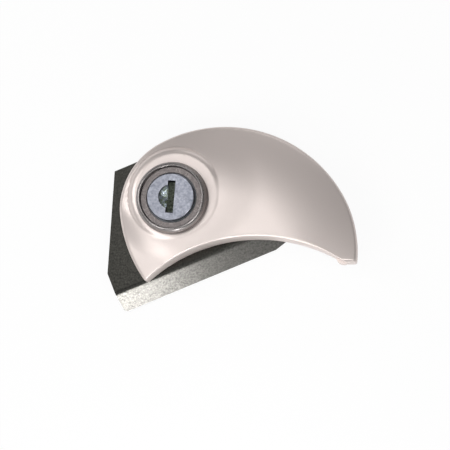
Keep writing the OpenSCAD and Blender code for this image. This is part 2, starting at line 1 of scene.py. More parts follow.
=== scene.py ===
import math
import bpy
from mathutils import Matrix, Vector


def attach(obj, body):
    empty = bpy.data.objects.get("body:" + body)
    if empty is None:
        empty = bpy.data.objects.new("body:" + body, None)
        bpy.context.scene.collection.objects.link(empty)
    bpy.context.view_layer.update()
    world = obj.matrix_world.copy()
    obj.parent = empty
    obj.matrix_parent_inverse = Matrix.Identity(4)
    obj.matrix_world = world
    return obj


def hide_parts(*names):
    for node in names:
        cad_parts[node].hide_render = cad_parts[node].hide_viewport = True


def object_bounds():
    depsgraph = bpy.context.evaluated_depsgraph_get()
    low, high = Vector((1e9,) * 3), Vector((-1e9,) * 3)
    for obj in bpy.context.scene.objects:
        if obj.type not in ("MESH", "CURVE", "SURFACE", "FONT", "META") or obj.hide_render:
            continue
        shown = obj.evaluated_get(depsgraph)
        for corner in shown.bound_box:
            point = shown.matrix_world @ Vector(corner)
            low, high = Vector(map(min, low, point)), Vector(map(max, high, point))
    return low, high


bl_info = {
    "name": "Flap lock",
    "version": (1, 0, 0),
    "blender": (4, 5, 0),
    "location": "3D View > Sidebar > Flap lock",
    "description": "Dresses the crescent flap lock: cover, bezel, cap, bracket and lock work",
    "category": "Object",
}

from types import SimpleNamespace

import bmesh
import bpy
from mathutils import Matrix, Vector

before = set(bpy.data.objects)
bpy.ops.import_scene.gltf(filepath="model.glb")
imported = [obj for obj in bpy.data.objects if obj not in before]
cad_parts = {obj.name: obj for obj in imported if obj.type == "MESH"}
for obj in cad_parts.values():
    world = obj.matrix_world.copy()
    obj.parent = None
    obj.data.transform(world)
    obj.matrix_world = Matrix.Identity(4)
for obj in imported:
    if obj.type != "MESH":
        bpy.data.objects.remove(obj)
CAD_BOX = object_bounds()
MM = 0.001

# The arcs of the cover's outline, as centre and radius in mm, and the directions in degrees where one gives way to
# the next
MAIN = ((17.0, -22.0), 48.9)
NOSE = ((24.5, -18.0), 40.4)
CHEEK = ((6.6, -2.5), 26.8)
LEG = ((29.0, 0.5), 49.4)
HOLLOW = ((28.6, -72.6), 59.0)
NOSE_AT = math.degrees(math.atan2(4.0, 7.5))
CHEEK_AT = 180 - math.degrees(math.atan2(19.5, 10.4))
LEG_AT = 180 + math.degrees(math.atan2(3.0, 22.4))
TIP_Y = -23.0
FOOT = (60.0, -20.8)

# The cover is made of rings of so many points, which close in on its middle in so many rows
MIDDLE = (20.0, 5.0)
POINTS_AROUND = 600
ROWS_TO_MIDDLE = 84

# Outside its flat the raised disc falls as the square of the way out over DISC_FALL, and faster from DISC_STEEP_FROM,
# and it blends with the face over DISC_BLEND
DISC_FALL = 5.5
DISC_STEEP = 0.7
DISC_STEEP_FROM = 2.0
DISC_BLEND = 0.3

# The face is lifted round the disc, to just under it. On the low side, below the lock and a little to its left, the
# lift also takes up a share of the face's fall, and it ends sooner.
LIFT_SHORT = 0.04
LOW_LEAN = 0.2
LOW_REACH = 0.9
LOW_LIFT = 0.45
LOW_SOONER = 0.35

# The lean of the key slot from upright
LEAN = math.radians(-5)

# The ribs under the wing, by direction in degrees, the two stop ribs, which meet the stop pin at 0 and at 155 degrees
# of swing, and how far under the face they all end
RIBS_AT = (8, -14)
STOP_RIB = 8
STOPS_AT = (118 + 4.82, 118 - 155 - 4.82 - STOP_RIB)
RIBS_UNDER = 0.9

# The view: the camera's focal length in pixels, its way from the aim in metres, the degrees by which it stands right
# of and below the lock's axis, and where the lock's front is, in pixels of the photograph and in mm
PHOTO_PX = 450
FOCAL_PX = 1268.0
CAMERA_AT = 0.450
CAMERA_RIGHT = 7
CAMERA_BELOW = 8
LOCK_PX = (172.6, 198.7)
LOCK_Z = 14.4

# The studio: the world's brightness, how much of the floor the camera sees as plain white, the point that the lamps
# face, and each lamp's name, place and size in metres, and power in watts
AMBIENT = 0.2
FLOOR_WHITE = 0.93
LAMPS_FACE = (0.02, -0.005, 0.01)
LAMPS = (
    ("softbox_over", (-0.10, 0.02, 0.60), (0.25, 0.25), 0.28),
    ("softbox_left", (-0.42, 0.12, 0.42), (0.25, 0.25), 0.85),
    ("mirrored_in_flats", (-0.05, 0.12, 0.62), (0.12, 0.12), 0.18),
    ("softbox_low", (-0.25, -0.35, 0.40), (0.30, 0.30), 1.00),
    ("fill_right", (0.25, -0.25, 0.50), (0.20, 0.20), 0.85),
    ("glint_above", (0.15, 0.45, 0.22), (0.30, 0.04), 0.20),
    ("card_below", (0.015, -0.20, 0.03), (0.05, 0.04), 0.085),
)


def select_only(*objects):
    """Leaves only these objects selected, the last one active."""
    if bpy.context.object and bpy.context.object.mode != "OBJECT":
        bpy.ops.object.mode_set(mode="OBJECT")
    bpy.ops.object.select_all(action="DESELECT")
    for o in objects:
        o.select_set(True)
        bpy.context.view_layer.objects.active = o


def edit(o, elements="VERT"):
    """Opens a piece in edit mode with nothing selected."""
    select_only(o)
    bpy.ops.object.mode_set(mode="EDIT")
    bpy.ops.mesh.select_mode(type=elements)
    bpy.ops.mesh.select_all(action="DESELECT")


def done():
    """Closes the piece that is open in edit mode."""
    bpy.ops.object.mode_set(mode="OBJECT")


def pick(o, test, elements="verts"):
    """Selects the vertices, edges or faces of an open piece that pass a test, and returns how many."""
    mesh = bmesh.from_edit_mesh(o.data)
    n = 0
    for e in getattr(mesh, elements):
        if test(e):
            e.select_set(True)
            n += 1
    mesh.select_flush_mode()
    bmesh.update_edit_mesh(o.data)
    return n


def place_in_mesh(o):
    """Puts a piece's place and turn into its mesh, so that its object sits at the origin."""
    o.data.transform(o.matrix_world)
    o.matrix_world = Matrix.Identity(4)
    return o


def apply_all(o):
    """Applies every modifier of a piece, in order."""
    select_only(o)
    for m in list(o.modifiers):
        bpy.ops.object.modifier_apply(modifier=m.name)
    return o


def clean_up(o, angle=32):
    """Merges doubles, turns the faces outward and shades smooth up to an angle, with flat faces kept flat."""
    tidy_mesh(o)
    select_only(o)
    bpy.ops.object.shade_smooth_by_angle(angle=math.radians(angle))
    m = o.modifiers.new("flats", "WEIGHTED_NORMAL")
    m.mode = "FACE_AREA"
    m.weight = 50
    m.keep_sharp = True
    return apply_all(o)


def tidy_mesh(o):
    """Merges doubles, drops loose edges and turns the faces outward."""
    edit(o)
    bpy.ops.mesh.select_all(action="SELECT")
    bpy.ops.mesh.remove_doubles(threshold=0.000002)
    bpy.ops.mesh.delete_loose()
    bpy.ops.mesh.select_all(action="SELECT")
    bpy.ops.mesh.normals_make_consistent(inside=False)
    done()
    return o


def bevelled(o, width, segments=2, angle=35):
    """Rounds a piece's sharp edges."""
    m = o.modifiers.new("edges", "BEVEL")
    m.width = width * MM
    m.segments = segments
    m.limit_method = "ANGLE"
    m.angle_limit = math.radians(angle)
    m.use_clamp_overlap = True
    m.harden_normals = False
    return apply_all(o)


def cut(o, cutter, operation="DIFFERENCE"):
    """Cuts a piece with another, or joins them, and deletes the second."""
    m = o.modifiers.new("cut", "BOOLEAN")
    m.operation = operation
    m.object = cutter
    m.solver = "MANIFOLD"
    apply_all(o)
    bpy.data.objects.remove(cutter)
    return o


def ring_piece(name, points):
    """A closed line of edges through points (x, y, z) in mm, from a circle of as many points."""
    bpy.ops.object.select_all(action="DESELECT")
    bpy.ops.mesh.primitive_circle_add(vertices=len(points), radius=0.01, fill_type="NOTHING",
                                      location=(0, 0, 0))
    o = bpy.context.object
    o.name = name
    for v, p in zip(o.data.vertices, points):
        v.co = [c * MM for c in p]
    return o


def lathe(name, profile, steps=128, axis_at=(0.0, 0.0), angle=360.0):
    """A closed profile of (radius, height) points in mm, spun about an upright axis."""
    o = ring_piece(name, [(r, 0, z) for r, z in profile])
    edit(o, "EDGE")
    bpy.ops.mesh.select_all(action="SELECT")
    if angle < 360:
        bpy.ops.mesh.edge_face_add()
    bpy.ops.mesh.spin(steps=steps, angle=math.radians(angle), center=(0, 0, 0), axis=(0, 0, 1),
                      use_auto_merge=angle == 360)
    done()
    o.data.transform(Matrix.Translation((axis_at[0] * MM, axis_at[1] * MM, 0)))
    return tidy_mesh(o)


def grow(o, places):
    """Extrudes the open ring of a piece once for each place, a function from a point's number to (x, y, z)."""
    edit(o, "EDGE")
    bpy.ops.mesh.select_all(action="SELECT")
    for place in places:
        bpy.ops.mesh.extrude_region_move()
        mesh = bmesh.from_edit_mesh(o.data)
        last = sorted((v for v in mesh.verts if v.select), key=lambda v: v.index)
        for i, v in enumerate(last):
            v.co = [c * MM for c in place(i)]
        bmesh.update_edit_mesh(o.data)
    bpy.ops.mesh.merge(type="CENTER")
    done()
    return o


def arc(centre, radius, start, end, steps):
    """Points on an arc, in degrees, as (x, y)."""
    return [(centre[0] + radius * math.cos(math.radians(start + (end - start) * i / steps)),
             centre[1] + radius * math.sin(math.radians(start + (end - start) * i / steps)))
            for i in range(steps + 1)]


def box_piece(name, low, high):
    """A block between two corners in mm, as a start for a cut or a rib."""
    middle = [(a + b) / 2 * MM for a, b in zip(low, high)]
    bpy.ops.object.select_all(action="DESELECT")
    bpy.ops.mesh.primitive_cube_add(size=1, location=middle)
    o = bpy.context.object
    o.name = name
    o.scale = [(b - a) * MM for a, b in zip(low, high)]
    bpy.context.view_layer.update()
    return place_in_mesh(o)


def turned(o, degrees, about=(0.0, 0.0, 0.0), axis="Z"):
    """Turns a piece about an axis through a point in mm."""
    spot = Matrix.Translation([c * MM for c in about])
    o.data.transform(spot @ Matrix.Rotation(math.radians(degrees), 4, axis) @ spot.inverted())
    return o


def join(*objects):
    """Makes one piece of several, named as the first."""
    select_only(*objects[::-1])
    bpy.ops.object.join()
    return objects[0]


def put_on(o, body, nodes, material):
    """Gives a finished piece its material and its body, and hides the nodes that it stands for."""
    o.data.materials.clear()
    o.data.materials.append(material)
    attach(o, body)
    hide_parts(*nodes)
    return o


def dress(node, material):
    """Gives a solid of the frame a better material."""
    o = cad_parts[node]
    if not o.material_slots:
        o.data.materials.append(material)
    for s in o.material_slots:
        s.material = material


# Materials

def group(name, inputs, outputs):
    """An empty shader group with named inputs (name, type, default) and outputs (name, type)."""
    g = bpy.data.node_groups.new(name, "ShaderNodeTree")
    for title, kind, value in inputs:
        s = g.interface.new_socket(title, in_out="INPUT", socket_type=kind)
        if value is not None:
            s.default_value = value
    for title, kind in outputs:
        g.interface.new_socket(title, in_out="OUTPUT", socket_type=kind)
    return g, g.nodes.new("NodeGroupInput"), g.nodes.new("NodeGroupOutput")


def node(tree, kind, **values):
    """A new node whose properties or input values are given by name."""
    n = tree.nodes.new(kind)
    for key, value in values.items():
        if hasattr(n, key):
            setattr(n, key, value)
        else:
            n.inputs[key.replace("_", " ")].default_value = value
    return n


def grain_group():
    """Fine grain, as a mask from 0 to 1, of a given size in mm."""
    g, start, end = group("Grain", [
        ("Size", "NodeSocketFloat", 0.3), ("Contrast", "NodeSocketFloat", 1.0)], [("Mask", "NodeSocketFloat")])
    at = node(g, "ShaderNodeTexCoord")
    per = node(g, "ShaderNodeMath", operation="DIVIDE")
    per.inputs[0].default_value = 1000
    noise = node(g, "ShaderNodeTexNoise", Detail=3.0, Roughness=0.6)
    sharp = node(g, "ShaderNodeMapRange")
    low = node(g, "ShaderNodeMath", operation="MULTIPLY_ADD")
    low.inputs[1].default_value = -0.25
    low.inputs[2].default_value = 0.5
    high = node(g, "ShaderNodeMath", operation="MULTIPLY_ADD")
    high.inputs[1].default_value = 0.25
    high.inputs[2].default_value = 0.5
    link = g.links.new
    link(start.outputs["Size"], per.inputs[1])
    link(at.outputs["Object"], noise.inputs["Vector"])
    link(per.outputs[0], noise.inputs["Scale"])
    link(start.outputs["Contrast"], low.inputs[0])
    link(start.outputs["Contrast"], high.inputs[0])
    link(noise.outputs["Fac"], sharp.inputs["Value"])
    link(low.outputs[0], sharp.inputs["To Min"])
    link(high.outputs[0], sharp.inputs["To Max"])
    sharp.inputs["From Min"].default_value = 0.3
    sharp.inputs["From Max"].default_value = 0.7
    link(sharp.outputs[0], end.inputs["Mask"])
    return g


def tone_group():
    """Two colours mixed by a mask, for cloudy plate, casting skin and flakes."""
    g, start, end = group("Tone", [
        ("Mask", "NodeSocketFloat", 0.5), ("Dark", "NodeSocketColor", (0.1, 0.1, 0.1, 1)),
        ("Light", "NodeSocketColor", (0.8, 0.8, 0.8, 1)), ("Dull", "NodeSocketFloat", 0.5),
        ("Bright", "NodeSocketFloat", 0.3)], [("Color", "NodeSocketColor"), ("Roughness", "NodeSocketFloat")])
    mix = node(g, "ShaderNodeMix", data_type="RGBA")
    rough = node(g, "ShaderNodeMapRange")
    link = g.links.new
    link(start.outputs["Mask"], mix.inputs["Factor"])
    link(start.outputs["Dark"], mix.inputs[6])
    link(start.outputs["Light"], mix.inputs[7])
    link(mix.outputs[2], end.inputs["Color"])
    link(start.outputs["Mask"], rough.inputs["Value"])
    link(start.outputs["Dull"], rough.inputs["To Min"])
    link(start.outputs["Bright"], rough.inputs["To Max"])
    link(rough.outputs[0], end.inputs["Roughness"])
    return g


def painted_shade_group():
    """A mask that is 1 below one height and 0 above another, in mm, for painted shade: darkening deep in a recess, or
    on a face that the light reaches less.
    """
    g, start, end = group("Depth", [
        ("Low", "NodeSocketFloat", 0.0), ("High", "NodeSocketFloat", 1.0)], [("Mask", "NodeSocketFloat")])
    at = node(g, "ShaderNodeTexCoord")
    split = node(g, "ShaderNodeSeparateXYZ")
    height = node(g, "ShaderNodeMath", operation="MULTIPLY")
    height.inputs[1].default_value = 1000
    mask = node(g, "ShaderNodeMapRange")
    mask.inputs["To Min"].default_value = 1
    mask.inputs["To Max"].default_value = 0
    link = g.links.new
    link(at.outputs["Object"], split.inputs[0])
    link(split.outputs["Z"], height.inputs[0])
    link(height.outputs[0], mask.inputs["Value"])
    link(start.outputs["Low"], mask.inputs["From Min"])
    link(start.outputs["High"], mask.inputs["From Max"])
    link(mask.outputs[0], end.inputs["Mask"])
    return g


GROUPS = {}


def surface(name, dark, light, metallic, dull, bright, size, bump=0.0, contrast=1.0, painted_shade=None):
    """A finish whose colour and roughness vary between two tones with a grain of a given size in mm.

    The painted shade is two heights in mm and the shade that the colour takes on from the second to the first:
    darkening painted in where the light falls less.
    """
    if not GROUPS:
        GROUPS["grain"] = grain_group()
        GROUPS["tone"] = tone_group()
        GROUPS["depth"] = painted_shade_group()
    m = bpy.data.materials.new(name)
    m.use_nodes = True
    tree = m.node_tree
    shader = next(n for n in tree.nodes if n.type == "BSDF_PRINCIPLED")
    grain = node(tree, "ShaderNodeGroup", node_tree=GROUPS["grain"])
    grain.inputs["Size"].default_value = size
    grain.inputs["Contrast"].default_value = contrast
    tone = node(tree, "ShaderNodeGroup", node_tree=GROUPS["tone"])
    tone.inputs["Dark"].default_value = (*srgb(dark), 1)
    tone.inputs["Light"].default_value = (*srgb(light), 1)
    tone.inputs["Dull"].default_value = dull
    tone.inputs["Bright"].default_value = bright
    link = tree.links.new
    link(grain.outputs["Mask"], tone.inputs["Mask"])
    # painted shade: past the given heights the colour is multiplied by a darker one
    if painted_shade:
        low, high, shade = painted_shade
        depth = node(tree, "ShaderNodeGroup", node_tree=GROUPS["depth"])
        depth.inputs["Low"].default_value = low
        depth.inputs["High"].default_value = high
        shaded = node(tree, "ShaderNodeMix", data_type="RGBA", blend_type="MULTIPLY")
        shaded.inputs[7].default_value = (*srgb(shade), 1)
        link(depth.outputs["Mask"], shaded.inputs["Factor"])
        link(tone.outputs["Color"], shaded.inputs[6])
        link(shaded.outputs[2], shader.inputs["Base Color"])
    else:
        link(tone.outputs["Color"], shader.inputs["Base Color"])
    link(tone.outputs["Roughness"], shader.inputs["Roughness"])
    shader.inputs["Metallic"].default_value = metallic
    if bump:
        b = node(tree, "ShaderNodeBump", Strength=bump)
        b.inputs["Distance"].default_value = size * MM
        link(grain.outputs["Mask"], b.inputs["Height"])
        link(b.outputs["Normal"], shader.inputs["Normal"])
    return m


def srgb(colour):
    """The linear values of a colour written in sRGB, from 0 to 1."""
    return [c / 12.92 if c <= 0.04045 else ((c + 0.055) / 1.055) ** 2.4 for c in colour[:3]]


# Each finish: its material's name, dark and light tone in sRGB, metallic share, the roughness of either tone, and the
# grain in mm, and below it the bump, the contrast of the grain and the painted shade by height of those that have one
TONES = {
    "bezel": ("satin_nickel", (0.52, 0.50, 0.50), (0.66, 0.64, 0.63), 1.0, 0.34, 0.24, 0.7),
    "cap": ("bright_steel", (0.46, 0.47, 0.51), (0.66, 0.67, 0.71), 1.0, 0.42, 0.34, 0.9),
    "zinc": ("zinc_plate", (0.30, 0.30, 0.29), (0.62, 0.61, 0.59), 0.9, 0.36, 0.28, 0.7),
    "casting": ("casting", (0.42, 0.43, 0.45), (0.55, 0.56, 0.58), 0.8, 0.55, 0.42, 0.5),
    "steel": ("turned_steel", (0.60, 0.61, 0.63), (0.74, 0.75, 0.77), 1.0, 0.35, 0.25, 0.3),
    # partly painted shade: dark steel, its near-black tone darkened further to stand in for the shade deep in the key
    # slot
    "dark_steel": ("dark_steel", (0.06, 0.08, 0.06), (0.34, 0.36, 0.32), 0.9, 0.45, 0.32, 0.6),
    "brass": ("brass", (0.62, 0.52, 0.28), (0.76, 0.66, 0.40), 1.0, 0.38, 0.28, 0.4),
    # painted reflection: the plug's yellow-green and blue-white tones, on a real grain, stand in for reflections in
    # the half-round
    "plug_plate": ("plug_plated", (0.50, 0.56, 0.30), (0.86, 0.90, 1.0), 1.0, 0.40, 0.22, 1.1),
    "fibre": ("washer_fibre", (0.08, 0.08, 0.08), (0.16, 0.16, 0.16), 0.0, 0.7, 0.55, 0.4),
}
RELIEF = {
    # painted shade: the bezel darkens below 17.7 mm, fully below 17.2 mm, so its recessed ring round the cap looks
    # shaded
    "bezel": {"bump": 0.03, "contrast": 1.3, "painted_shade": (17.2, 17.7, (0.52, 0.50, 0.50))},
    "cap": {"bump": 0.02, "contrast": 1.5},
    # painted shade: the bracket's flat plate is darkened from 0.4 mm up, fully from 1.4 mm, the bent lip below left
    # lighter
    "zinc": {"bump": 0.06, "contrast": 1.2, "painted_shade": (1.4, 0.4, (0.48, 0.48, 0.47))},
    "casting": {"bump": 0.08},
    "dark_steel": {"bump": 0.2, "contrast": 1.8},
    # painted shade: the plug darkens below 16.4 mm, fully below 15.0 mm, deep in the key slot
    "plug_plate": {"bump": 0.2, "contrast": 2.0, "painted_shade": (15.0, 16.4, (0.35, 0.36, 0.33))},
}
FINISHES = {}


def finish(name):
    """The material of a finish, made when it is first asked for."""
    if name not in FINISHES:
        if name == "lacquer":
            paint = bpy.context.scene.flap_lock_paint
            FINISHES[name] = surface(
                "champagne_lacquer", [c * 0.97 for c in paint.lacquer], paint.lacquer, paint.lacquer_metallic,
                paint.lacquer_rough + 0.03, paint.lacquer_rough - 0.03, 0.25, bump=0.02)
        else:
            FINISHES[name] = surface(*TONES[name], **RELIEF.get(name, {}))
    return FINISHES[name]


# The form of the cover

def rim_distance(x, y):
    """How far a point is in from the outer edge of the cover, by the arc in whose sector it lies."""
    def from_arc(piece):
        (cx, cy), r = piece
        return r - math.hypot(x - cx, y - cy)
    across = math.degrees(math.atan2(y - MAIN[0][1], x - MAIN[0][0]))
    if across < -90:
        across += 360
    if across > CHEEK_AT:
        round_lock = math.degrees(math.atan2(y - CHEEK[0][1], x - CHEEK[0][0])) % 360
        return from_arc(CHEEK if CHEEK_AT - 60 < round_lock < LEG_AT else LEG)
    return from_arc(MAIN if across > NOSE_AT else NOSE)


def meet(c1, r1, c2, r2):
    """Where two circles meet, on the right of the way from the first centre to the second."""
    d = math.dist(c1, c2)
    a = (d * d + r1 * r1 - r2 * r2) / (2 * d)
    h = math.sqrt(r1 * r1 - a * a)
    ux, uy = (c2[0] - c1[0]) / d, (c2[1] - c1[1]) / d
    return (c1[0] + a * ux + h * uy, c1[1] + a * uy - h * ux)


def outline_points():
    """The cover's outline, anticlockwise from the tip's foot, as (x, y) in mm."""
    def angle(c, p):
        return math.degrees(math.atan2(p[1] - c[1], p[0] - c[0]))
    tip_x = HOLLOW[0][0] + math.sqrt(HOLLOW[1] ** 2 - (TIP_Y - HOLLOW[0][1]) ** 2)
    nose_end = (NOSE[0][0] + math.sqrt(NOSE[1] ** 2 - (TIP_Y - NOSE[0][1]) ** 2), TIP_Y)
    leg_end = meet(*LEG, *HOLLOW)
    points = [(tip_x, TIP_Y), nose_end]
    points += arc(NOSE[0], NOSE[1], angle(NOSE[0], nose_end), NOSE_AT, 50)
    points += arc(MAIN[0], MAIN[1], NOSE_AT, CHEEK_AT, 140)[1:]
    points += arc(CHEEK[0], CHEEK[1], CHEEK_AT, LEG_AT, 64)[1:]
    points += arc(LEG[0], LEG[1], LEG_AT, angle(LEG[0], leg_end) % 360, 60)[1:]
    points += arc(HOLLOW[0], HOLLOW[1], angle(HOLLOW[0], leg_end), angle(HOLLOW[0], (tip_x, TIP_Y)), 150)
    kept = []
    for p in points:
        if not kept or math.dist(kept[-1], p) > 0.02:
            kept.append(p)
    if math.dist(kept[0], kept[-1]) < 0.02:
        kept.pop()
    return kept


def resampled(points, n):
    """A closed line cut into n equal steps."""
    ring = points + [points[0]]
    lengths = [0.0]
    for a, b in zip(ring, ring[1:]):
        lengths.append(lengths[-1] + math.dist(a, b))
    out, k = [], 0
    for i in range(n):
        want = lengths[-1] * i / n
        while lengths[k + 1] < want:
            k += 1
        t = (want - lengths[k]) / (lengths[k + 1] - lengths[k])
        (ax, ay), (bx, by) = ring[k], ring[k + 1]
        out.append((ax + t * (bx - ax), ay + t * (by - ay)))
    return out


def rounded_outline(n, corner):
    """The outline in n points, its corners rounded by averaging along a short window."""
    fine = resampled(outline_points(), 2400)
    total = sum(math.dist(a, b) for a, b in zip(fine, fine[1:] + fine[:1]))
    w = max(1, round(corner / (total / len(fine))))
    for _ in range(2):
        m = len(fine)
        fine = [(sum(fine[(i + k) % m][0] for k in range(-w, w + 1)) / (2 * w + 1),
                 sum(fine[(i + k) % m][1] for k in range(-w, w + 1)) / (2 * w + 1)) for i in range(m)]
    return resampled(fine, n)


def face_height(x, y, size):
    """The height of the cover's face over a point, in mm, with its fall to the rim and the raised disc."""
    d = max(0.0, rim_distance(x, y))
    bow = (size.edge_reach ** 2 + size.edge_drop ** 2) / (2 * size.edge_drop)
    fall = max(0.0, size.edge_reach - d)
    z = size.face_h - (bow - math.sqrt(bow * bow - fall * fall))
    dx, dy = x - size.boss_x, y - size.boss_y
    out = max(0.0, math.hypot(dx, dy) - size.boss_flat)
    low = eased(-(LOW_LEAN * dx + dy) / (LOW_REACH * size.boss_flat))
    lift = size.boss_h - LIFT_SHORT - size.face_h
    lift += (size.face_h - z) * LOW_LIFT * low
    z += lift * (1 - eased(out / (size.boss_melt * (1 - LOW_SOONER * low))))
    skirt = size.boss_h - out * out / DISC_FALL - DISC_STEEP * max(0.0, out - DISC_STEEP_FROM) ** 2
    over = skirt - z
    if over >= DISC_BLEND:
        return skirt
    return z if over <= -DISC_BLEND else z + (over + DISC_BLEND) ** 2 / (4 * DISC_BLEND)


def eased(t):
    """From 0 to 1 with a soft start and end."""
    t = max(0.0, min(1.0, t))
    return t * t * (3 - 2 * t)


class FlapLockSize(bpy.types.PropertyGroup):
    """Sizes of the looks."""
    face_h: bpy.props.FloatProperty(
        name="Face height", description="Height of the flat of the face",
        default=0.0136, unit="LENGTH", precision=4)
    edge_drop: bpy.props.FloatProperty(
        name="Edge drop", description="How much the face falls to its rim",
        default=0.0044, unit="LENGTH", precision=4)
    edge_reach: bpy.props.FloatProperty(
        name="Edge reach", description="How far in the fall begins",
        default=0.026, unit="LENGTH", precision=4)
    edge_round: bpy.props.FloatProperty(
        name="Edge round", description="Radius on the outer edge",
        default=0.0012, unit="LENGTH", precision=4)
    hollow_round: bpy.props.FloatProperty(
        name="Hollow edge round", description="Radius on the hollow edge",
        default=0.0009, unit="LENGTH", precision=4)
    wall: bpy.props.FloatProperty(
        name="Wall", description="Wall of the cover",
        default=0.0022, unit="LENGTH", precision=4)
    rim_z: bpy.props.FloatProperty(
        name="Rim", description="Height of the rim over the bracket's back",
        default=0.0022, unit="LENGTH", precision=4)
    boss_h: bpy.props.FloatProperty(
        name="Raised disc", description="Height of the raised disc",
        default=0.0144, unit="LENGTH", precision=4)
    boss_flat: bpy.props.FloatProperty(
        name="Disc flat", description="Radius of the flat of the raised disc",
        default=0.0143, unit="LENGTH", precision=4)
    boss_melt: bpy.props.FloatProperty(
        name="Disc melt", description="Width over which the disc melts into the flat",
        default=0.016, unit="LENGTH", precision=4)
    boss_x: bpy.props.FloatProperty(
        name="Disc right", description="The disc's centre, right of the lock",
        default=0.001, unit="LENGTH", precision=4)
    boss_y: bpy.props.FloatProperty(
        name="Disc up", description="The disc's centre, above the lock",
        default=0.0016, unit="LENGTH", precision=4)


def in_mm(size):
    """The sizes of the looks in mm, which the form of the cover is written in."""
    names = FlapLockSize.__annotations__
    return SimpleNamespace(**{name: round(getattr(size, name) / MM, 4) for name in names})


class FlapLockPaint(bpy.types.PropertyGroup):
    """Colours of the looks, in sRGB."""
    lacquer: bpy.props.FloatVectorProperty(
        name="Lacquer", description="Champagne lacquer of the cover", size=3, subtype="COLOR_GAMMA",
        default=(0.93, 0.885, 0.865))
    lacquer_metallic: bpy.props.FloatProperty(
        name="Metallic", description="Metallic share of the lacquer",
        default=0.75, min=0.0, max=1.0, subtype="FACTOR")
    lacquer_rough: bpy.props.FloatProperty(
        name="Roughness", description="Roughness of the lacquer",
        default=0.42, min=0.0, max=1.0, subtype="FACTOR")
    floor: bpy.props.FloatProperty(
        name="Floor", description="Brightness of the floor",
        default=0.95, min=0.0, max=1.0, subtype="FACTOR")


class FLAPLOCK_OT_cover(bpy.types.Operator):
    """Make the crescent cover with its hollow, ribs and foot"""
    bl_idname = "flap_lock.cover"
    bl_label = "Cover"

    def execute(self, context):
        size = in_mm(context.scene.flap_lock_size)
        centre = Vector(MIDDLE)
        n = POINTS_AROUND
        rim = [Vector(p) for p in rounded_outline(n, 0.5)]
        inward = []
        for i in range(n):
            t = rim[(i + 1) % n] - rim[i - 1]
            inward.append(Vector((-t.y, t.x)).normalized())
        ray = [(centre - p).normalized() for p in rim]
        slant = [max(0.45, r.dot(v)) for r, v in zip(ray, inward)]
        reach = [(centre - p).length for p in rim]
        on_hollow = [abs((p - Vector(HOLLOW[0])).length - HOLLOW[1]) < 0.4 for p in rim]
        edge = [size.hollow_round if h else size.edge_round for h in on_hollow]
        # the radius changes little by little where the hollow meets the outer edge
        for _ in range(6):
            edge = [(edge[i - 1] + 2 * edge[i] + edge[(i + 1) % n]) / 4 for i in range(n)]

        def at_edge(share):
            return lambda i: (rim[i].x, rim[i].y,
                              size.rim_z + share * (face_height(*rim[i], size) - edge[i] - size.rim_z))

        def round_the_edge(a):
            def place(i):
                p = rim[i] + ray[i] * edge[i] * (1 - math.cos(a)) / slant[i]
                return p.x, p.y, face_height(p.x, p.y, size) - edge[i] * (1 - math.sin(a))
            return place

        def over_the_face(share):
            def place(i):
                begin = min(1.5 / slant[i], reach[i] * 0.5)
                p = rim[i] + ray[i] * (begin + (reach[i] - begin) * share)
                return p.x, p.y, face_height(p.x, p.y, size)
            return place

        wall = [rim[i] + inward[i] * size.wall for i in range(n)]
        # the wall's inner line is smoothed, so that its corners don't fold over
        for _ in range(30):
            wall = [(wall[i - 1] + 2 * wall[i] + wall[(i + 1) % n]) / 4 for i in range(n)]

        def inside(inset, share, lower):
            def place(i):
                d = centre - wall[i]
                q = wall[i] + d.normalized() * min(inset, d.length * 0.5)
                q += (centre - q) * share
                return q.x, q.y, face_height(q.x, q.y, size) - size.wall - lower
            return place

        start = [(p.x, p.y, size.rim_z) for p in rim]
        outer = grow(ring_piece("cover", start),
                     [at_edge(k / 3) for k in range(1, 4)]
                     + [round_the_edge(math.radians(90 * k / 8)) for k in range(1, 9)]
                     + [over_the_face(k / ROWS_TO_MIDDLE) for k in range(ROWS_TO_MIDDLE)])
        inner = grow(ring_piece("hollow", start),
                     [lambda i: (wall[i].x, wall[i].y, size.rim_z)]
                     + [inside(0, 0, 0.6), inside(0.2, 0, 0.15)] + [inside(0.6, k / 24, 0) for k in range(24)])
        cover = tidy_mesh(join(outer, inner))
        cut(cover, ribs(size, rim, inward), "UNION")
        cut(cover, foot(size), "UNION")
        cut(cover, hub_pocket())
        clean_up(cover, 40)
        put_on(cover, "cover", ["cover_shell"], finish("lacquer"))
        return {"FINISHED"}


def ribs(size, rim, inward):
    """The ribs under the wing and the two stop ribs, kept inside the cover's wall and roof."""
    parts = [turned(box_piece("rib", (15.0, -0.75, 6.4), (60.0, 0.75, size.face_h)), angle) for angle in RIBS_AT]
    for angle in STOPS_AT:
        profile = [(15.4, size.rim_z), (23.6, size.rim_z), (23.6, size.face_h), (15.4, size.face_h)]
        parts.append(turned(lathe("stop", profile, 6, angle=STOP_RIB), angle))
    inset = [p + v * 0.7 for p, v in zip(rim, inward)]
    n = len(inset)
    room = grow(ring_piece("room", [(p.x, p.y, 0) for p in inset]),
                [lambda i: (inset[i].x, inset[i].y, face_height(*inset[i], size) - RIBS_UNDER),
                 *[under_roof(inset, size, k / 20) for k in range(1, 20)]])
    edit(room, "EDGE")
    pick(room, lambda e: e.is_boundary, "edges")
    bpy.ops.mesh.edge_face_add()
    done()
    tidy_mesh(room)
    joined = parts[0]
    for other in parts[1:]:
        joined = cut(joined, other, "UNION")
    return cut(joined, room, "INTERSECT")


def under_roof(inset, size, share):
    """A ring of points under the roof, a share of the way in to the middle of the cover."""
    middle = Vector(MIDDLE)

    def place(i):
        p = inset[i] + (middle - inset[i]) * share
        return p.x, p.y, face_height(p.x, p.y, size) - RIBS_UNDER
    return place


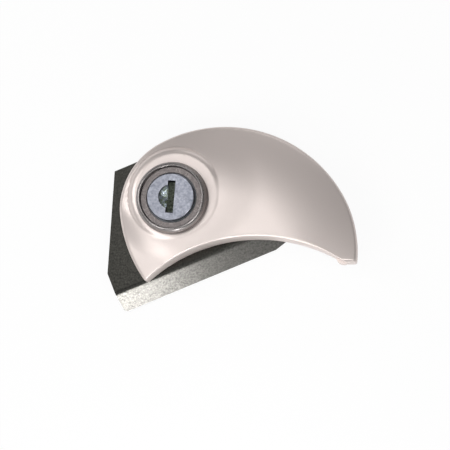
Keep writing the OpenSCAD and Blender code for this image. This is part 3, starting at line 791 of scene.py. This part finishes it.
def foot(size):
    """The foot under the wing's tip with its column."""
    profile = [(0, 0.3), (1.9, 0.3), (2.3, 0.7), (2.3, 3.2), (2.6, 3.4), (2.6, 8.0), (0, 8.0)]
    return lathe("foot", profile, 48, FOOT)


def hub_pocket():
    """What the hub, the nut and the barrel take out of the cover."""
    profile = [(0, -1), (15.4, -1), (15.4, 9.3), (13.4, 9.3), (13.4, 11.5), (10.15, 11.5), (10.15, 16), (0, 16)]
    return lathe("pocket", profile, 96)


class FLAPLOCK_OT_bezel(bpy.types.Operator):
    """Make the nickel ring round the cylinder"""
    bl_idname = "flap_lock.bezel"
    bl_label = "Bezel"

    def execute(self, context):
        z = in_mm(context.scene.flap_lock_size).boss_h
        profile = [(10.15, 0), (12.6, 0), (12.85, 0.12), (12.9, 0.4), (12.9, 1.0)]
        profile += [(11.35 + 1.55 * math.cos(math.radians(a)), 1 + 4 * math.sin(math.radians(a)))
                    for a in range(8, 90, 8)]
        profile += [(11.35, 5.0), (11.15, 4.94), (11.03, 4.8), (11.0, 4.6), (11.0, 3.1), (10.9, 2.93),
                    (10.7, 2.9), (9.05, 2.9), (8.92, 2.86), (8.9, 2.75), (8.9, 2.25), (10.15, 2.25)]
        ring = clean_up(lathe("bezel", [(r, h + z) for r, h in profile], 160), 30)
        put_on(ring, "cover", ["bezel_ring"], finish("bezel"))
        return {"FINISHED"}


class FLAPLOCK_OT_cap(bpy.types.Operator):
    """Make the steel cap with its key slot and half-round relief"""
    bl_idname = "flap_lock.cap"
    bl_label = "Cap"

    def execute(self, context):
        base, top, r, edge = 18.0, 19.2, 8.5, 0.5
        profile = [(0, base), (r, base), (r, top - edge)]
        profile += arc((r - edge, top - edge), edge, 15, 75, 4)
        profile += [(r - edge, top), (0, top)]
        cap = lathe("cap", profile, 128)
        cap = self.slotted(cap)
        put_on(cap, "plug", ["plug_cap"], finish("cap"))
        return {"FINISHED"}

    def slotted(self, cap):
        """Cuts the slot and the half-round beside it."""
        slot = box_piece("slot", (-1.35, -5.75, 17), (1.35, 5.75, 21))
        bpy.ops.object.select_all(action="DESELECT")
        bpy.ops.mesh.primitive_cylinder_add(vertices=96, radius=4.35 * MM, depth=4 * MM, location=(0, 0, 19 * MM))
        disc = bpy.context.object
        place_in_mesh(disc)
        edit(disc, "FACE")
        bpy.ops.mesh.select_all(action="SELECT")
        bpy.ops.mesh.bisect(plane_co=(0, 0, 0), plane_no=(1, 0, 0), use_fill=True, clear_outer=True)
        done()
        cut(slot, disc, "UNION")
        slot.data.transform(Matrix.Rotation(LEAN, 4, "Z"))
        cut(cap, slot)
        bevelled(cap, 0.14, 3, 50)
        return clean_up(cap, 35)


class FLAPLOCK_OT_bracket(bpy.types.Operator):
    """Make the bent zinc-plated bracket with its edges broken"""
    bl_idname = "flap_lock.bracket"
    bl_label = "Bracket"

    def execute(self, context):
        bracket = softened("mounting_bracket", "bracket", 0.18)
        put_on(bracket, "base", ["mounting_bracket"], finish("zinc"))
        return {"FINISHED"}


def softened(name_of_node, name, width, angle=30):
    """A copy of a solid of the frame, its flat faces made whole and its edges rounded."""
    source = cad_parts[name_of_node]
    o = bpy.data.objects.new(name, source.data.copy())
    bpy.context.scene.collection.objects.link(o)
    edit(o)
    bpy.ops.mesh.select_all(action="SELECT")
    bpy.ops.mesh.remove_doubles(threshold=0.000002)
    bpy.ops.mesh.dissolve_limited(angle_limit=math.radians(1.5))
    done()
    bevelled(o, width, 2, angle)
    return clean_up(o, 38)


class FLAPLOCK_OT_lock_work(bpy.types.Operator):
    """Give the hub, the plug and the work inside their finishes"""
    bl_idname = "flap_lock.lock_work"
    bl_label = "Lock work"

    def execute(self, context):
        finishes = {
            "pivot_hub": "casting", "hub_rivets": "steel", "retaining_ring": "steel", "ring_screws": "steel",
            "stop_pin": "steel", "lock_housing": "casting", "cylinder_nut": "brass", "thrust_washer": "fibre",
            "tail_plate": "steel", "plate_screws": "steel", "detent_ball": "steel", "detent_spring": "steel",
            "locking_bolt": "steel", "plug": "plug_plate", "plug_clip": "dark_steel", "drive_cam": "steel",
            "cam_screw": "steel", "wafers_upper": "brass", "wafers_lower": "brass", "wafer_springs": "steel",
            "key_shutter": "dark_steel", "shutter_pin": "steel", "shutter_spring": "steel"}
        for name, finish_name in finishes.items():
            dress(name, finish(finish_name))
        return {"FINISHED"}


class FLAPLOCK_OT_stage(bpy.types.Operator):
    """Make the floor, the lamps and the camera"""
    bl_idname = "flap_lock.stage"
    bl_label = "Stage"

    def execute(self, context):
        paint = context.scene.flap_lock_paint
        self.floor(paint)
        self.lamps(context)
        self.camera(context)
        context.scene.view_settings.view_transform = "Standard"
        return {"FINISHED"}

    def floor(self, paint):
        """Makes the pale floor just under the lowest piece."""
        bpy.ops.object.select_all(action="DESELECT")
        bpy.ops.mesh.primitive_plane_add(size=6, location=(0, 0, CAD_BOX[0][2] - 0.2 * MM))
        floor = bpy.context.object
        floor.name = "floor"
        # lit, it shows the soft shadow, and seen by the camera it is nearly plain white
        m = bpy.data.materials.new("pale_floor")
        m.use_nodes = True
        tree = m.node_tree
        out = next(n for n in tree.nodes if n.type == "OUTPUT_MATERIAL")
        shader = next(n for n in tree.nodes if n.type == "BSDF_PRINCIPLED")
        shader.inputs["Base Color"].default_value = (paint.floor,) * 3 + (1,)
        shader.inputs["Roughness"].default_value = 0.9
        shader.inputs["Specular IOR Level"].default_value = 0.0
        glow = node(tree, "ShaderNodeEmission", Strength=1.0)
        glow.inputs["Color"].default_value = (1, 1, 1, 1)
        path = node(tree, "ShaderNodeLightPath")
        share = node(tree, "ShaderNodeMath", operation="MULTIPLY")
        share.inputs[1].default_value = FLOOR_WHITE
        mix = node(tree, "ShaderNodeMixShader")
        tree.links.new(path.outputs["Is Camera Ray"], share.inputs[0])
        tree.links.new(share.outputs[0], mix.inputs[0])
        tree.links.new(shader.outputs[0], mix.inputs[1])
        tree.links.new(glow.outputs[0], mix.inputs[2])
        tree.links.new(mix.outputs[0], out.inputs["Surface"])
        floor.data.materials.append(m)

    def lamps(self, context):
        """Lights the world evenly and sets up the softboxes and cards."""
        world = bpy.data.worlds.new("studio")
        context.scene.world = world
        world.use_nodes = True
        back = world.node_tree.nodes["Background"]
        back.inputs["Color"].default_value = (1, 1, 1, 1)
        back.inputs["Strength"].default_value = AMBIENT
        for name, place, size, power in LAMPS:
            lamp = bpy.data.lights.new(name, "AREA")
            lamp.shape = "RECTANGLE"
            lamp.size, lamp.size_y = size
            lamp.energy = power
            o = bpy.data.objects.new(name, lamp)
            o.location = place
            o.rotation_euler = (Vector(LAMPS_FACE) - Vector(place)).to_track_quat("-Z", "Y").to_euler()
            context.scene.collection.objects.link(o)

    def camera(self, context):
        """Sets up the camera as the photograph was taken."""
        toward = Vector((math.tan(math.radians(CAMERA_RIGHT)), -math.tan(math.radians(CAMERA_BELOW)), 1)).normalized()
        right = Vector((0, 1, 0)).cross(toward).normalized()
        up = toward.cross(right)
        lock = Vector((0, 0, LOCK_Z)) * MM
        # the point aimed at moves until the lock falls where it is in the photograph
        dx, dy = (LOCK_PX[0] - PHOTO_PX / 2) / FOCAL_PX, -(LOCK_PX[1] - PHOTO_PX / 2) / FOCAL_PX
        target = lock
        for _ in range(20):
            eye = target + toward * CAMERA_AT
            depth = (eye - lock).dot(toward)
            off_x = (lock - eye).dot(right) / depth - dx
            off_y = (lock - eye).dot(up) / depth - dy
            target = target + right * off_x * depth + up * off_y * depth
        data = bpy.data.cameras.new("camera")
        data.sensor_width = 36
        data.lens = FOCAL_PX * 36 / PHOTO_PX
        data.clip_start, data.clip_end = 0.01, 20
        data.dof.use_dof = False
        o = bpy.data.objects.new("camera", data)
        turn = Matrix((right, up, toward)).transposed().to_4x4()
        o.matrix_world = Matrix.Translation(target + toward * CAMERA_AT) @ turn
        context.scene.collection.objects.link(o)
        context.scene.camera = o


class FLAPLOCK_PT_panel(bpy.types.Panel):
    """The pieces of the flap lock"""
    bl_label = "Flap lock"
    bl_idname = "FLAPLOCK_PT_panel"
    bl_space_type = "VIEW_3D"
    bl_region_type = "UI"
    bl_category = "Flap lock"

    def draw(self, context):
        for name in STEPS:
            self.layout.operator("flap_lock." + name)
        for group_of_values in (context.scene.flap_lock_size, context.scene.flap_lock_paint):
            for name in group_of_values.__annotations__:
                self.layout.prop(group_of_values, name)


STEPS = ("cover", "bezel", "cap", "bracket", "lock_work", "stage")
CLASSES = (FlapLockSize, FlapLockPaint, FLAPLOCK_OT_cover, FLAPLOCK_OT_bezel, FLAPLOCK_OT_cap,
           FLAPLOCK_OT_bracket, FLAPLOCK_OT_lock_work, FLAPLOCK_OT_stage, FLAPLOCK_PT_panel)


def register():
    for c in CLASSES:
        bpy.utils.register_class(c)
    bpy.types.Scene.flap_lock_size = bpy.props.PointerProperty(type=FlapLockSize)
    bpy.types.Scene.flap_lock_paint = bpy.props.PointerProperty(type=FlapLockPaint)


def unregister():
    del bpy.types.Scene.flap_lock_paint
    del bpy.types.Scene.flap_lock_size
    for c in reversed(CLASSES):
        bpy.utils.unregister_class(c)


def main():
    register()
    for name in STEPS:
        getattr(bpy.ops.flap_lock, name)()


if __name__ == "__main__":
    main()
